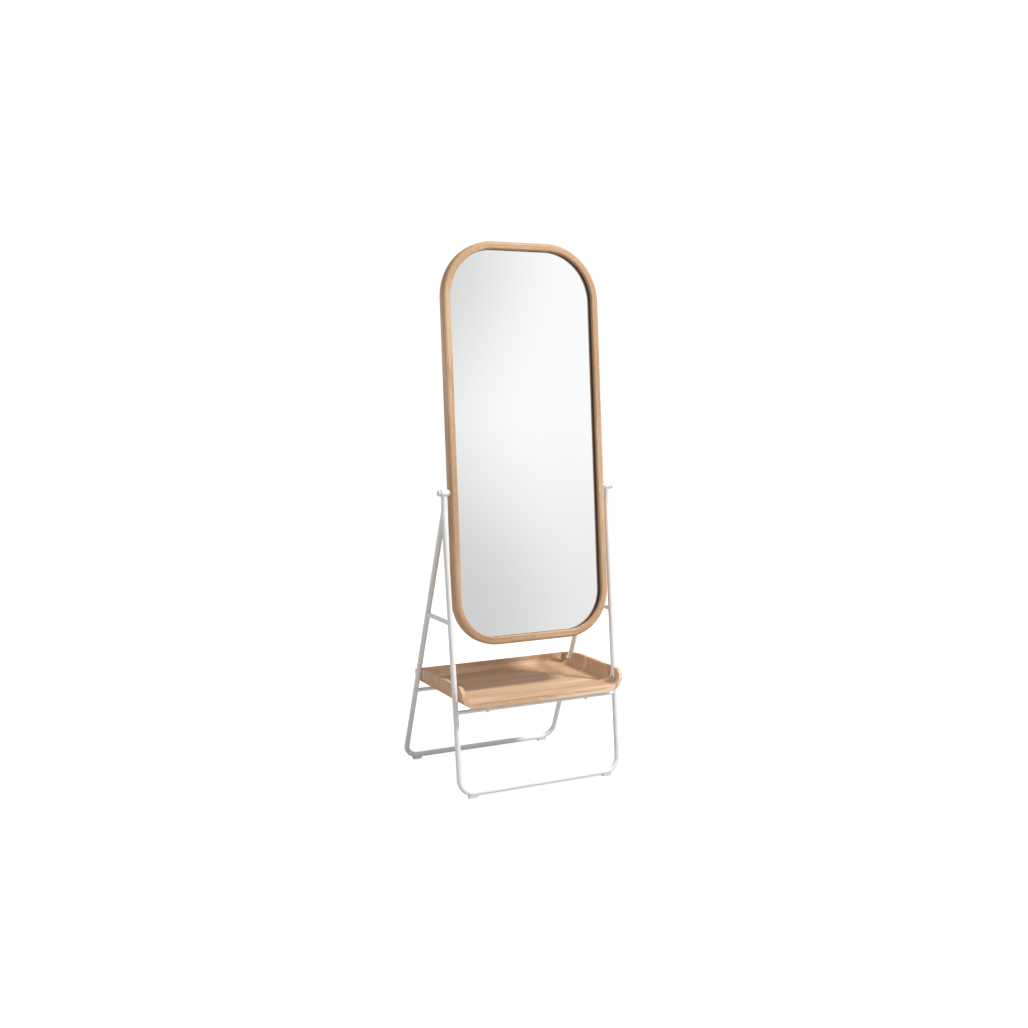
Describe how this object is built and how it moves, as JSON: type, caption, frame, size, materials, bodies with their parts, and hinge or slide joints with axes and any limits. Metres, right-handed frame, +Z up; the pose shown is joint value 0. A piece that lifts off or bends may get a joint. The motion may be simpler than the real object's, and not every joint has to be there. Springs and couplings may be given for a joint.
{
  "type": "cheval floor mirror",
  "caption": "Free-standing oak-framed mirror that tilts on side pivots in a white steel tube stand, with an open-fronted oak tray resting on rails between the legs.",
  "frame": {"origin": "on the floor, at the middle of the whole object's outline in plan", "axes": "+X across the mirror towards its right side seen from the front, -Y towards the viewer of the glass, +Z up"},
  "size_m": [0.581, 0.451, 1.6046],
  "materials": {
    "powder_white": "satin powder coat",
    "oak_frame": "clear matt lacquer",
    "oak_tray": "clear matt lacquer",
    "mirror_glass": "polished",
    "glide_plastic": "moulded",
    "knob_plastic": "moulded",
    "nylon": "moulded",
    "screw_steel": "zinc plated",
    "insert_brass": "turned",
    "beech_dowel": "bare",
    "foam": "closed-cell foam",
    "panel_board": "veneered board"
  },
  "bodies": {
    "stand": {"front_loop": "powder_white", "rear_loop": "powder_white", "left_upright": "powder_white", "right_upright": "powder_white", "left_crossbar": "powder_white", "right_crossbar": "powder_white", "front_rail": "powder_white", "rear_rail": "powder_white", "left_barrel": "powder_white", "right_barrel": "powder_white", "front_left_glide": "glide_plastic", "front_right_glide": "glide_plastic", "rear_left_glide": "glide_plastic", "rear_right_glide": "glide_plastic", "tray": "oak_tray", "tray_spacers": "nylon", "tray_screws": "powder_white", "left_nylon_washer": "nylon", "right_nylon_washer": "nylon", "left_spacer": "powder_white", "right_spacer": "powder_white"},
    "mirror": {"left_insert": "insert_brass", "right_insert": "insert_brass", "left_stile": "oak_frame", "right_stile": "oak_frame", "top_member": "oak_frame", "foot_member": "oak_frame", "top_left_corner": "oak_frame", "top_right_corner": "oak_frame", "foot_left_corner": "oak_frame", "foot_right_corner": "oak_frame", "joint_dowels": "beech_dowel", "mirror_glass": "mirror_glass", "foam_sheet": "foam", "back_panel": "panel_board", "panel_screws": "screw_steel"},
    "left_knob": {"left_knob": "knob_plastic", "left_stud": "screw_steel"},
    "right_knob": {"right_knob": "knob_plastic", "right_stud": "screw_steel"}
  },
  "joints": [
    {"name": "mirror_tilt", "type": "hinge", "parent": "stand", "child": "mirror", "pos_m": [0, -0.1146, 0.881], "axis": [1, 0, 0], "range_deg": [-30, 30]},
    {"name": "left_knob_turn", "type": "hinge", "parent": "mirror", "child": "left_knob", "pos_m": [-0.286, -0.1146, 0.881], "axis": [-1, 0, 0], "range_deg": [0, 360]},
    {"name": "right_knob_turn", "type": "hinge", "parent": "mirror", "child": "right_knob", "pos_m": [0.286, -0.1146, 0.881], "axis": [1, 0, 0], "range_deg": [0, 360]}
  ]
}
